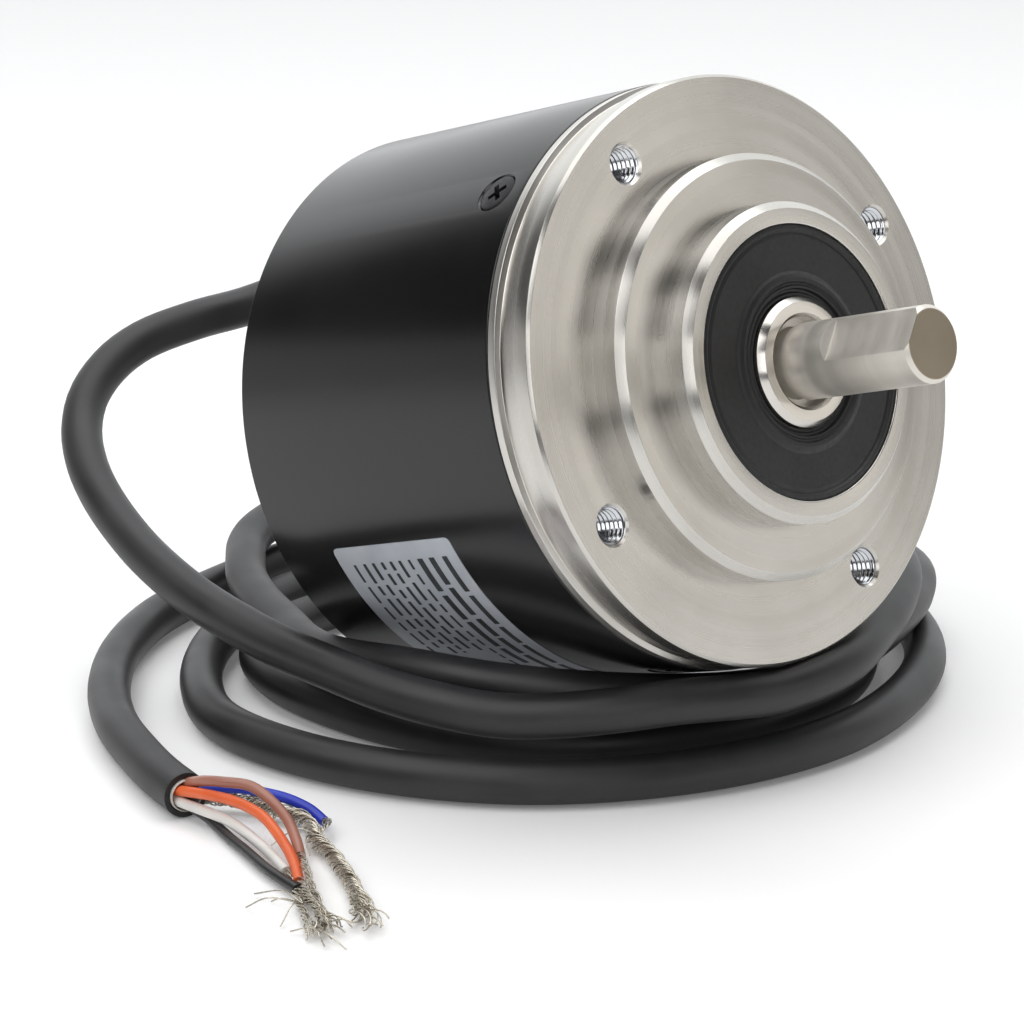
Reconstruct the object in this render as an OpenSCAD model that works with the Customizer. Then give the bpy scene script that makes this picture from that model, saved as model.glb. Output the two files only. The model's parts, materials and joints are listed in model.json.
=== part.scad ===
// Heavy-duty incremental rotary encoder with a flanged aluminium housing, a 10 mm solid shaft
// and a fixed cable. The encoder is stored as it stands: its rear rim on the surface, nose up,
// with the flange leaning on its own loosely coiled cable. Every housing part is first drawn
// about the shaft axis (local +X, local x = 0 on the mounting face), then placed by at_rest().
// World: +Z up, z = 0 is the surface, origin below the middle of the encoder without its cable.

/* [Flange] */
// Diameter of the mounting flange
flange_d = 78; // [76:0.5:80]
// Thickness of the mounting flange
flange_t = 7.5; // [7:0.5:9]
// Diameter of the large centring pilot
pilot_d = 56; // [52:1:58]
// Diameter of the small centring boss
boss_d = 42; // [40:1:46]
// Height of each centring step
step_h = 5; // [4.5:0.5:6]
// Chamfer on the two centring steps
step_chamfer = 1; // [0.5:0.1:1.2]
// Width of the clamp groove round the flange edge
groove_w = 3.6; // [3:0.1:3.8]
// Depth of the clamp groove
groove_depth = 0.8; // [0.5:0.1:1.2]
// Distance from the mounting face to the groove
groove_from_face = 2.7; // [2.4:0.1:3]
// Pitch circle of the tapped mounting holes
hole_pcd = 66; // [65:0.5:68]
// Core diameter of the tapped mounting holes
hole_d = 4.2; // [4:0.1:4.4]
// Depth of the tapped mounting holes
hole_depth = 8; // [6:0.5:8]
// Roll of the first mounting hole from the top
hole_roll = -27; // [-45:1:45]

/* [Cover] */
// Outer diameter of the rear cover
cover_d = 78.2; // [78:0.1:80]
// Length of the rear cover
cover_len = 50.3; // [49.5:0.1:60]
// Wall of the rear cover
cover_wall = 2.5; // [2:0.1:2.6]
// Thickness of the cover's closed end
cover_end_t = 2; // [1.5:0.1:2.5]
// Chamfer round the closed end
cover_chamfer = 0.4; // [0.3:0.1:1.5]
// Roll of the first cover screw from the top
cover_screw_roll = -42; // [-50:1:-30]

/* [Shaft] */
// Diameter of the output shaft
shaft_d = 10; // [8:0.5:10]
// How far the shaft stands out of the mounting face
shaft_reach = 32.4; // [28:0.1:36]
// Chamfer on the shaft end
shaft_chamfer = 0.6; // [0.3:0.1:1]
// Length of the flat on the shaft
flat_len = 14.6; // [10:0.1:18]
// Depth of the flat
flat_depth = 1; // [0.5:0.1:1]
// Roll of the flat from the top
flat_roll = -52; // [-180:1:180]
// Outer diameter of the seal sleeve on the shaft
sleeve_d = 17; // [16:0.1:17]

/* [Bearings] */
// Bore of both ball bearings
bearing_bore = 15; // [15:1:15]
// Outer diameter of both ball bearings
bearing_od = 32; // [32:1:32]
// Width of both ball bearings
bearing_w = 9; // [9:1:9]
// Balls in each bearing
ball_count = 9; // [7:1:9]
// Ball diameter
ball_d = 4.76; // [4.5:0.01:4.76]

/* [Cable] */
// Outer diameter of the cable
cable_d = 6; // [6:0.1:6]
// Diameter of one insulated wire
wire_d = 1.4; // [1.2:0.1:1.5]
// Diameter of the twisted shield
braid_d = 1.8; // [1.5:0.1:2]

/* [Rest pose] */
// Nose-up lean of the encoder on its cable
tilt = 16; // [15:0.5:17]

/* [Hidden] */
$fn = 96;
eps = 0.01;

// Axial stations on the local axis
cover_front_x = -flange_t;
cover_back_x = cover_front_x - cover_len;
spigot_back_x = -18;
hub_back_x = -32;
bearing_front_x = -7;
bearing_rear_x = -29;
seal_seat_x = 2.85;
flat_start_x = shaft_reach - flat_len;
screw_x = -12.8;
grommet_x = -46.7;

// Radii
flange_r = flange_d / 2;
cover_r = cover_d / 2;
cover_in_r = cover_r - cover_wall;
spigot_r = cover_in_r - 0.1;
shaft_r = shaft_d / 2;
journal_r = 6;
race_bore_r = bearing_bore / 2;
race_od_r = bearing_od / 2;
pitch_r = (race_bore_r + race_od_r) / 2;
race_groove_r = ball_d / 2 + 0.07;
inner_race_r = race_bore_r + 2.7;
outer_race_r = race_od_r - 2.7;
seal_bore_r = 18;
cable_r = cable_d / 2;

// Rest pose: the lowest point of the cover's rim is at z = 0, and the shaft and the cover reach equally far either side of x = 0
rest_z = -((cover_back_x + cover_chamfer) * sin(tilt) - cover_r * cos(tilt));
rest_x = 16.564;

// Cable exit: a radial hole in the cover, in line with a mounting hole and on the far side
exit_roll = hole_roll + 90;
exit_start = 29;
exit_end = 54;

// The lead from the grommet, behind the encoder and down its left side on to the coil
lead_route = [
    [-36, 55, 67], [-45, 64, 68.5], [-59, 67.5, 65.5], [-73.5, 61.5, 60], [-84.5, 49.5, 54.5], [-90.5, 35, 49],
    [-93, 21, 44.8], [-94, 8.2, 42.4], [-94.7, -1.9, 41.6], [-94.4, -12.5, 40.2], [-93.3, -19.5, 37.9],
    [-90.9, -25.6, 34.6], [-87.2, -29.9, 31.2], [-81.5, -33.6, 27.9], [-74.4, -36.5, 24.7], [-63.2, -39.8, 21.2],
    [-55.3, -41.4, 19.2], [-45.3, -42.4, 16.9], [-30.7, -42.1, 14.2]
];
// The outer shape of the loose coil: its centre, and its section as radius and height
coil_centre = [-27, 5];
coil_section = [[38, 0], [56, 0], [56, 10.5], [53, 13.8], [38, 9.8]];
// The tail, from the coil to the cut end of the jacket
tail_route = [
    [-80, 20, 3], [-85, 8, 3], [-84, -8, 3], [-79, -23, 3], [-70, -37, 3], [-58, -49, 3], [-45, -58, 3],
    [-32, -64, 3], [-24, -67, 3], [-17, -69, 3]
];
// The stripped wires, from the cut end
brown_route = [[-17, -68.7, 4.5], [-13, -69, 6], [-8, -68, 6.5], [-3, -67, 5.5], [2, -68, 3.5], [6.5, -70, 1.5]];
orange_route = [[-17, -70.2, 4], [-11.5, -69.8, 4.6], [-7, -69.2, 4.8], [-1.5, -69.3, 4.5], [2.5, -70, 3], [8, -72.5, 2], [12, -75, 1]];
blue_route = [[-17, -67.5, 3.5], [-15, -65.2, 3.5], [-13, -63, 3.5], [-9.5, -61.8, 3.5], [-7, -60, 3], [-4, -59, 2], [-1.5, -59, 1]];
white_route = [[-17, -70.4, 2.6], [-13, -70, 2.5], [-7.5, -69.8, 2.2], [0, -71, 1.4], [8.5, -74, 1]];
black_route = [[-17, -69.2, 1.6], [-13, -68.8, 1], [-8.5, -70.2, 0.8], [-5, -71.4, 0.8], [-1, -72.7, 0.9], [7, -75.4, 1], [14, -77, 1]];
braid_route = [[-17, -67.5, 1.8], [-15.8, -64, 1.7], [-13.5, -61.5, 1.5], [-9.5, -61, 1.3], [-4, -61.4, 1.2], [4, -64.5, 1], [15, -70, 1], [23, -74.5, 1], [31, -80, 1]];
strands_route = [[13.5, -76.8, 1], [19, -80, 1], [24, -82.5, 1], [29, -85, 1]];

// ---------- helpers ----------

// Places a part drawn about the shaft axis in its rest pose
module at_rest() {
    translate([rest_x, 0, rest_z]) rotate([0, -tilt, 0]) children();
}

// A turned part: points are [radius, x]
module turned(points) {
    rotate([0, 90, 0]) rotate_extrude() polygon(points);
}

// A plain ring about the shaft axis
module ring(r_in, r_out, x0, x1) {
    turned([[r_in, x0], [r_out, x0], [r_out, x1], [r_in, x1]]);
}

// Rolls a part drawn above the axis round to an angle from the top, positive towards +Y
module rolled(angle) {
    rotate([-angle, 0, 0]) children();
}

// A round bar along the axis at a given distance above it
module bar(x0, x1, r, height) {
    translate([x0, 0, height]) rotate([0, 90, 0]) cylinder(h = x1 - x0, r = r, $fn = 48);
}

// A radial round bar above the axis at a station x
module radial_bar(x, r0, r1, r) {
    translate([x, 0, r0]) cylinder(h = r1 - r0, r = r, $fn = 48);
}

// Three places at equal angles
module thirds(first) {
    for (k = [0:2]) rolled(first + 120 * k) children();
}

// Rings of a tube swept along a route of points
function unit(v) = v / norm(v);
function heading(p, i) = unit(p[min(i + 1, len(p) - 1)] - p[max(i - 1, 0)]);
function side_of(t) = unit(cross(t, [0, 0, 1]));
function tube_ring(p, i, r, n) =
    let (t = heading(p, i), s = side_of(t), u = cross(s, t))
    [for (k = [0:n - 1]) p[i] + r * (cos(360 * k / n) * s + sin(360 * k / n) * u)];

module tube_along(p, r, n = 10) {
    count = len(p);
    rings = [for (i = [0:count - 1]) each tube_ring(p, i, r, n)];
    walls = [for (i = [0:count - 2], k = [0:n - 1]) each
        [[i * n + k, (i + 1) * n + k, (i + 1) * n + (k + 1) % n], [i * n + k, (i + 1) * n + (k + 1) % n, i * n + (k + 1) % n]]];
    start = [for (k = [0:n - 1]) k];
    end = [for (k = [0:n - 1]) (count - 1) * n + n - 1 - k];
    polyhedron(concat(rings), concat([start], walls, [end]));
}

// ---------- housing ----------

module mounting_hole() {
    radius = hole_pcd / 2;
    bar(-hole_depth, eps, hole_d / 2, radius);
    translate([-0.45, 0, radius]) rotate([0, 90, 0]) cylinder(h = 0.46, r1 = hole_d / 2, r2 = hole_d / 2 + 0.46, $fn = 48);
}

module flange_housing() {
    groove_r = flange_r - groove_depth;
    groove_x = -groove_from_face;
    groove_end_x = groove_x - groove_w;
    oring_x = -8.5;
    oring_seat_r = cover_in_r - 1.8;
    color([0.78, 0.76, 0.72]) at_rest() difference() {
        turned([
            [seal_bore_r, 2 * step_h], [boss_d / 2 - step_chamfer, 2 * step_h],
            [boss_d / 2, 2 * step_h - step_chamfer], [boss_d / 2, step_h],
            [pilot_d / 2 - step_chamfer, step_h], [pilot_d / 2, step_h - step_chamfer],
            [pilot_d / 2, 0], [flange_r - 0.4, 0], [flange_r, -0.4],
            [flange_r, groove_x], [groove_r, groove_x - 0.3],
            [groove_r, groove_end_x + 0.3], [flange_r, groove_end_x], [flange_r, -flange_t],
            [spigot_r, -flange_t], [spigot_r, oring_x], [oring_seat_r, oring_x],
            [oring_seat_r, oring_x - 2.2], [spigot_r, oring_x - 2.2], [spigot_r, spigot_back_x],
            [18.5, spigot_back_x], [18.5, hub_back_x], [race_od_r, hub_back_x],
            [race_od_r, hub_back_x + 0.8], [race_od_r + 0.9, hub_back_x + 0.8],
            [race_od_r + 0.9, hub_back_x + 2], [race_od_r, hub_back_x + 2],
            [race_od_r, bearing_rear_x + bearing_w], [13.5, bearing_rear_x + bearing_w],
            [13.5, bearing_front_x], [race_od_r, bearing_front_x],
            [race_od_r, seal_seat_x], [seal_bore_r, seal_seat_x]
        ]);
        for (k = [0:3]) rolled(hole_roll + 90 * k) mounting_hole();
        thirds(cover_screw_roll) radial_bar(screw_x, 28, 40, 1.5);
        for (side = [-1, 1]) translate([-26, side * 4, 30]) rotate([0, 90, 0]) cylinder(h = 12, r = 1, $fn = 48);
        thirds(100) bar(-22, -15, 1.25, 31);
    }
}

module cover_screw_sink() {
    radial_bar(screw_x, 36, 40, 1.6);
    translate([screw_x, 0, 37.45]) cylinder(h = 1.85, r1 = 1.6, r2 = 3.05, $fn = 48);
}

module rear_cover() {
    color([0.06, 0.06, 0.07]) at_rest() difference() {
        turned([
            [0, cover_back_x], [cover_r - cover_chamfer, cover_back_x],
            [cover_r, cover_back_x + cover_chamfer], [cover_r, cover_front_x],
            [cover_in_r, cover_front_x], [cover_in_r, cover_back_x + cover_end_t],
            [0, cover_back_x + cover_end_t]
        ]);
        thirds(cover_screw_roll) cover_screw_sink();
        rolled(exit_roll) radial_bar(grommet_x, 30, 42, 5.4);
    }
}

module cover_screws() {
    color([0.12, 0.12, 0.13]) at_rest() thirds(cover_screw_roll) difference() {
        union() {
            radial_bar(screw_x, 29, 37.5, 1.5);
            translate([screw_x, 0, 37.5]) cylinder(h = 1.5, r1 = 1.5, r2 = 2.75, $fn = 48);
        }
        translate([screw_x - 1.5, -0.45, 37.9]) cube([3, 0.9, 2]);
        translate([screw_x - 0.45, -1.5, 37.9]) cube([0.9, 3, 2]);
    }
}

module cover_o_ring() {
    color([0.09, 0.09, 0.09]) at_rest() rotate([0, 90, 0]) translate([0, 0, -9.6])
        rotate_extrude() translate([cover_in_r - 0.9, 0]) circle(r = 0.9, $fn = 32);
}

// Label on the lower side of the cover, a thin skin over part of a turn
module name_label() {
    label_width = 23.5;
    label_back_x = -46.6;
    color([0.62, 0.64, 0.66]) at_rest() rolled(-110) rotate([0, 90, 0]) rotate([0, 0, 180])
        rotate_extrude(angle = 62) translate([cover_r, label_back_x]) square([0.15, label_width]);
}

// ---------- seal ----------

module oil_seal() {
    color([0.11, 0.11, 0.11]) at_rest() turned([
        [seal_bore_r, seal_seat_x], [seal_bore_r, 9.5], [17.6, 9.85], [11.5, 9.85],
        [11.0, 10.15], [10.4, 10.15], [10.1, 9.8], [9.5, 9.1], [8.95, 9.45], [8.56, 9.2], [9.0, 8.6],
        [9.6, 8.1], [9.3, 5.2], [8.56, 4.6], [9.6, 3.8], [10.6, 3.8], [10.6, 5.2], [10.4, 6.8],
        [11.2, 7.9], [11.2, 8.6], [17.2, 8.6], [17.2, seal_seat_x]
    ]);
}

module seal_case() {
    color([0.6, 0.6, 0.62]) at_rest() turned([
        [11.3, 7.8], [11.3, 8.6], [17.2, 8.6], [17.2, 3.2], [16.4, 3.2], [16.4, 7.8]
    ]);
}

module seal_spring() {
    color([0.7, 0.7, 0.72]) at_rest() rotate([0, 90, 0]) translate([0, 0, 4.5])
        rotate_extrude() translate([11.1, 0]) circle(r = 0.5, $fn = 24);
}

// ---------- shaft and what is on it ----------

module shaft() {
    core_r = 5.9;
    core_front_x = 8.4;
    rear_x = -45;
    ring_x = bearing_rear_x;
    // the flatted stretch is 0.02 mm smaller in radius than the round stretch behind it
    color([0.72, 0.71, 0.69]) at_rest() difference() {
        turned([
            [0, rear_x], [journal_r - 0.4, rear_x], [journal_r, rear_x + 0.4], [journal_r, ring_x - 2.2],
            [race_bore_r, ring_x - 2.2], [race_bore_r, ring_x - 1.2], [7, ring_x - 1.2], [7, ring_x],
            [race_bore_r, ring_x], [race_bore_r, 2.2], [core_r, 2.2], [core_r, core_front_x],
            [shaft_r - 0.3, core_front_x], [shaft_r - 0.3, core_front_x + 2.4], [shaft_r, core_front_x + 2.4],
            [shaft_r, flat_start_x + 0.3], [shaft_r - 0.02, flat_start_x + 0.3],
            [shaft_r - 0.02, shaft_reach - shaft_chamfer],
            [shaft_r - shaft_chamfer, shaft_reach], [0, shaft_reach]
        ]);
        rolled(flat_roll) translate([flat_start_x, -shaft_r, shaft_r - flat_depth])
            cube([flat_len + 1, shaft_d, shaft_d]);
    }
}

module shaft_sleeve() {
    sleeve_r = sleeve_d / 2;
    color([0.8, 0.8, 0.79]) at_rest() turned([
        [5.9, 2.2], [sleeve_r, 2.2], [sleeve_r, 9.9], [sleeve_r - 0.8, 10.7], [6.1, 10.7], [5.9, 10.5]
    ]);
}

module bearing_spacer() {
    color([0.66, 0.66, 0.68]) at_rest()
        ring(race_bore_r, 9.5, bearing_rear_x + bearing_w, bearing_front_x);
}

module shaft_ring() {
    color([0.2, 0.2, 0.22]) at_rest() difference() {
        ring(7, 8.9, bearing_rear_x - 1.2, bearing_rear_x);
        translate([bearing_rear_x - 2, -1.5, 4]) cube([3, 3, 6]);
    }
}

// ---------- bearings ----------

module race_groove(x) {
    translate([x + bearing_w / 2, 0, 0]) rotate([0, 90, 0]) rotate_extrude()
        translate([pitch_r, 0]) circle(r = race_groove_r, $fn = 48);
}

module outer_race(x) {
    color([0.7, 0.71, 0.73]) at_rest() difference() {
        ring(outer_race_r, race_od_r, x, x + bearing_w);
        race_groove(x);
    }
}

module inner_race(x) {
    color([0.7, 0.71, 0.73]) at_rest() difference() {
        ring(race_bore_r, inner_race_r, x, x + bearing_w);
        race_groove(x);
    }
}

module ball_ring(x, r) {
    for (k = [0:ball_count - 1]) rolled(360 * k / ball_count)
        translate([x + bearing_w / 2, 0, pitch_r]) sphere(r = r, $fn = 48);
}

module balls(x) {
    color([0.82, 0.82, 0.84]) at_rest() ball_ring(x, ball_d / 2);
}

module cage(x) {
    color([0.85, 0.8, 0.62]) at_rest() difference() {
        ring(pitch_r - 0.85, pitch_r + 0.85, x + 1.4, x + 5.1);
        ball_ring(x, ball_d / 2 + 0.08);
    }
}

module shields(x) {
    color([0.65, 0.65, 0.67]) at_rest() for (side_x = [x + 0.2, x + bearing_w - 0.5])
        ring(inner_race_r + 0.1, outer_race_r, side_x, side_x + 0.3);
}

module front_outer_race() { outer_race(bearing_front_x); }
module front_inner_race() { inner_race(bearing_front_x); }
module front_balls() { balls(bearing_front_x); }
module front_cage() { cage(bearing_front_x); }
module front_shields() { shields(bearing_front_x); }
module rear_outer_race() { outer_race(bearing_rear_x); }
module rear_inner_race() { inner_race(bearing_rear_x); }
module rear_balls() { balls(bearing_rear_x); }
module rear_cage() { cage(bearing_rear_x); }
module rear_shields() { shields(bearing_rear_x); }

module wave_washer() {
    color([0.5, 0.5, 0.52]) at_rest() ring(14.2, 15.8, bearing_rear_x - 1, bearing_rear_x);
}

module housing_ring() {
    color([0.2, 0.2, 0.22]) at_rest() difference() {
        ring(13.8, race_od_r + 0.9, bearing_rear_x - 2.2, bearing_rear_x - 1);
        translate([bearing_rear_x - 3, -3, 10]) cube([3, 6, 10]);
    }
}

// ---------- code disc and optics ----------

disc_x = -37.5;
optic_r = 22.5;

module disc_hub() {
    color([0.75, 0.62, 0.35]) at_rest() difference() {
        turned([
            [journal_r, -41.6], [8, -41.6], [8, disc_x + 1], [12, disc_x + 1], [12, disc_x + 3],
            [8, disc_x + 3], [8, -33], [journal_r, -33]
        ]);
        thirds(30) bar(disc_x - 1, disc_x + 2.8, 1, 10);
        for (a = [0, 90]) rolled(a) radial_bar(-40.2, journal_r - 1, 9, 1.25);
    }
}

module code_disc() {
    color([0.72, 0.8, 0.82]) at_rest() difference() {
        ring(8, 25.5, disc_x, disc_x + 1);
        thirds(30) bar(disc_x - 1, disc_x + 2, 1.1, 10);
    }
}

module disc_clamp_ring() {
    color([0.75, 0.62, 0.35]) at_rest() difference() {
        ring(8, 12, disc_x - 1, disc_x);
        thirds(30) bar(disc_x - 2, disc_x + 1, 1.1, 10);
    }
}

module disc_screws() {
    color([0.7, 0.7, 0.72]) at_rest() thirds(30) {
        bar(disc_x - 1, disc_x + 2.6, 1, 10);
        bar(disc_x - 2, disc_x - 1, 1.8, 10);
    }
}

module hub_set_screws() {
    color([0.2, 0.2, 0.22]) at_rest() for (a = [0, 90]) rolled(a) difference() {
        radial_bar(-40.2, journal_r, 7.8, 1.25);
        translate([-40.2, 0, 7]) cylinder(h = 2, r = 0.65, $fn = 6);
    }
}

module led_holder() {
    color([0.1, 0.1, 0.11]) at_rest() difference() {
        union() {
            translate([-35, -5, 19.2]) cube([17, 10, 7.3]);
            translate([-20.5, -7, 19.2]) cube([2.5, 14, 14.3]);
        }
        bar(-36, -29, 2.5, optic_r);
        for (side = [-1, 1]) translate([-22, side * 4, 30]) rotate([0, 90, 0]) cylinder(h = 6, r = 1.1, $fn = 48);
    }
}

module led_holder_screws() {
    color([0.7, 0.7, 0.72]) at_rest() for (side = [-1, 1]) translate([-20.5, side * 4, 30]) rotate([0, 90, 0]) {
        cylinder(h = 6, r = 1, $fn = 48);
        translate([0, 0, -1.2]) cylinder(h = 1.2, r = 1.9, $fn = 48);
    }
}

module led() {
    color([0.85, 0.86, 0.9]) at_rest() bar(-35.3, -29, 2.5, optic_r);
}

module reticle() {
    color([0.75, 0.82, 0.85]) at_rest() translate([-39.9, -4.5, optic_r - 4]) cube([1, 9, 8]);
}

module photo_sensor() {
    color([0.13, 0.13, 0.14]) at_rest() translate([-41.6, -4.5, optic_r - 4]) cube([1.7, 9, 8]);
}

// ---------- circuit boards ----------

board_r = 33;
board_t = 1.6;
sensor_board_x = -43.2;
output_board_x = -52;

module board(x, centre_hole_r) {
    difference() {
        ring(0, board_r, x, x + board_t);
        thirds(100) bar(x - 1, x + board_t + 1, 1.3, 31);
        translate([x - 1, 0, 0]) rotate([0, 90, 0]) cylinder(h = 4, r = centre_hole_r);
    }
}

module sensor_board() { color([0.05, 0.35, 0.18]) at_rest() board(sensor_board_x, 9); }

module output_board() { color([0.05, 0.35, 0.18]) at_rest() board(output_board_x, 2); }

module board_components() {
    face_x = output_board_x + board_t;
    color([0.12, 0.12, 0.13]) at_rest() {
        for (a = [150, 190, 230]) rolled(a) translate([face_x, -4, 14]) cube([1.6, 8, 5]);
        for (a = [270, 300]) rolled(a) bar(face_x, face_x + 5.4, 2.5, 20);
        for (a = [330, 350, 10]) rolled(a) translate([face_x, -1.6, 20]) cube([1, 3.2, 1.8]);
    }
}

module board_standoffs() {
    color([0.74, 0.62, 0.36]) at_rest() thirds(100) difference() {
        union() {
            bar(sensor_board_x + board_t, spigot_back_x, 2.5, 31);
            bar(output_board_x + board_t, sensor_board_x, 2.5, 31);
        }
        bar(output_board_x, spigot_back_x + 1, 1.25, 31);
    }
}

module board_screws() {
    color([0.7, 0.7, 0.72]) at_rest() thirds(100) {
        bar(output_board_x, -15.5, 1.25, 31);
        bar(output_board_x - 1.4, output_board_x, 2.2, 31);
    }
}

module wire_connector() {
    color([0.9, 0.88, 0.82]) at_rest() rolled(exit_roll)
        translate([output_board_x + board_t, -4.5, 16]) cube([5.6, 9, 6]);
}

module inner_wires() {
    color([0.8, 0.4, 0.2]) at_rest() rolled(exit_roll) for (k = [-2:2]) translate([0, 1.2 * k, 0])
        radial_bar(grommet_x, 22, exit_start, 0.55);
}

// ---------- cable ----------

module cable_ferrule() {
    color([0.75, 0.75, 0.76]) at_rest() rolled(exit_roll) translate([grommet_x, 0, 30]) difference() {
        cylinder(h = 4, r = 3.35, $fn = 48);
        translate([0, 0, -1]) cylinder(h = 6, r = cable_r, $fn = 48);
    }
}

module cable_grommet() {
    color([0.1, 0.1, 0.1]) at_rest() difference() {
        rolled(exit_roll) translate([grommet_x, 0, 0]) difference() {
            rotate_extrude() polygon([
                [0, 34.8], [6.6, 34.8], [6.6, 36.4], [5.4, 36.6], [5.4, 38], [7.5, 38], [7.5, 40.6],
                [6.9, 41.2], [5.6, 41.6], [4, 53.6], [3.6, exit_end], [0, exit_end]
            ]);
            cylinder(h = 60, r = cable_r + 0.05);
        }
        difference() {
            ring(cover_in_r, cover_r, cover_back_x, cover_front_x);
            rolled(exit_roll) radial_bar(grommet_x, 30, 42, 5.4);
        }
    }
}

// World position of a point on the cable exit's axis, at a distance from the shaft axis
function exit_point(s) = [
    rest_x + grommet_x * cos(tilt) - s * cos(exit_roll) * sin(tilt),
    s * sin(exit_roll),
    rest_z + grommet_x * sin(tilt) + s * cos(exit_roll) * cos(tilt)
];

module cable_lead() {
    color([0.13, 0.13, 0.13]) tube_along(concat([exit_point(exit_start), exit_point(exit_end - 9), exit_point(exit_end)], lead_route), cable_r);
}

module cable_coil() {
    color([0.13, 0.13, 0.13]) translate(coil_centre) rotate_extrude() polygon(coil_section);
}

module cable_tail() {
    color([0.13, 0.13, 0.13]) tube_along(tail_route, cable_r);
}

module wire(route) { tube_along(route, wire_d / 2, 8); }

module brown_wire() { color([0.42, 0.24, 0.18]) wire(brown_route); }
module orange_wire() { color([0.9, 0.36, 0.12]) wire(orange_route); }
module blue_wire() { color([0.08, 0.13, 0.6]) wire(blue_route); }
module white_wire() { color([0.88, 0.87, 0.84]) wire(white_route); }
module black_wire() { color([0.05, 0.05, 0.05]) wire(black_route); }
module wire_strands() { color([0.72, 0.68, 0.6]) tube_along(strands_route, braid_d / 2, 8); }
module shield_braid() { color([0.72, 0.68, 0.6]) tube_along(braid_route, braid_d / 2, 8); }

flange_housing();
rear_cover();
cover_screws();
cover_o_ring();
name_label();
oil_seal();
seal_case();
seal_spring();
shaft();
shaft_sleeve();
bearing_spacer();
shaft_ring();
front_outer_race();
front_inner_race();
front_balls();
front_cage();
front_shields();
rear_outer_race();
rear_inner_race();
rear_balls();
rear_cage();
rear_shields();
wave_washer();
housing_ring();
disc_hub();
code_disc();
disc_clamp_ring();
disc_screws();
hub_set_screws();
led_holder();
led_holder_screws();
led();
reticle();
photo_sensor();
sensor_board();
output_board();
board_components();
board_standoffs();
board_screws();
wire_connector();
inner_wires();
cable_ferrule();
cable_grommet();
cable_lead();
cable_coil();
cable_tail();
brown_wire();
orange_wire();
blue_wire();
white_wire();
black_wire();
shield_braid();
wire_strands();
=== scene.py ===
import json
import math
import random

import bmesh
import bpy
from mathutils import Matrix, Vector


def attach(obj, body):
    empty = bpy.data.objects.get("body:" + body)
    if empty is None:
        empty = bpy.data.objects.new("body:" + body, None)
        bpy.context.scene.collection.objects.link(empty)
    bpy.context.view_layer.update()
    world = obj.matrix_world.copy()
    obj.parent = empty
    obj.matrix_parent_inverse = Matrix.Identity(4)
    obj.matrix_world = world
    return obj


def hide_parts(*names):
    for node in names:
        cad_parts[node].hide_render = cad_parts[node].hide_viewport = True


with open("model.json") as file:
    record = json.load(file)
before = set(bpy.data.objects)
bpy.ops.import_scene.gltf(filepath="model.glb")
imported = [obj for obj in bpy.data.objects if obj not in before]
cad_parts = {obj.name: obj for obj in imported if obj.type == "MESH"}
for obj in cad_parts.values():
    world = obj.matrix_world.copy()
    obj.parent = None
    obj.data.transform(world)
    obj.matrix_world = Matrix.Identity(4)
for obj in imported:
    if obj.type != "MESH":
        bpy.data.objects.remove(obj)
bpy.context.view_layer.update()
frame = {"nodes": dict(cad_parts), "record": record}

MM = 0.001
TILT = math.radians(16)
# The shaft axis' own frame: local +X along the shaft, x = 0 on the mounting face
FACE_CENTRE = Vector((16.564, 0, 53.407)) * MM
REST = Matrix.Translation(FACE_CENTRE) @ Matrix.Rotation(-TILT, 4, "Y")
AXIS = Vector((math.cos(TILT), 0, math.sin(TILT)))
HOLE_ROLL = -27
HOLE_CIRCLE_R = 33
COVER_R = 39.1
COVER_INNER_R = 36.6
SCREW_ROLL = -42
FLAT_ROLL = -52
EXIT_ROLL = 63
GROMMET_X = -46.7
SCREW_X = -12.8
scene = bpy.context.scene

# ------------------------------------------------------------------ camera
camera_data = bpy.data.cameras.new("camera")
camera_data.lens = 136.65
camera_data.sensor_width = 36
camera_data.clip_start = 0.01
camera = bpy.data.objects.new("camera", camera_data)
scene.collection.objects.link(camera)
camera.location = FACE_CENTRE + Vector((333.5, -366.2, 123.1)) * MM
forward = Vector((-0.69009, 0.66862, -0.27698)).normalized()
right = forward.cross(Vector((0, 0, 1))).normalized()
up = right.cross(forward)
camera.rotation_euler = Matrix((right, up, -forward)).transposed().to_euler()
scene.camera = camera


# ------------------------------------------------------------------ materials
def srgb(red, green, blue):
    """Linear colour from 0-255 display values."""
    def channel(v):
        v /= 255
        return v / 12.92 if v <= 0.04045 else ((v + 0.055) / 1.055) ** 2.4
    return (channel(red), channel(green), channel(blue), 1)


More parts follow.
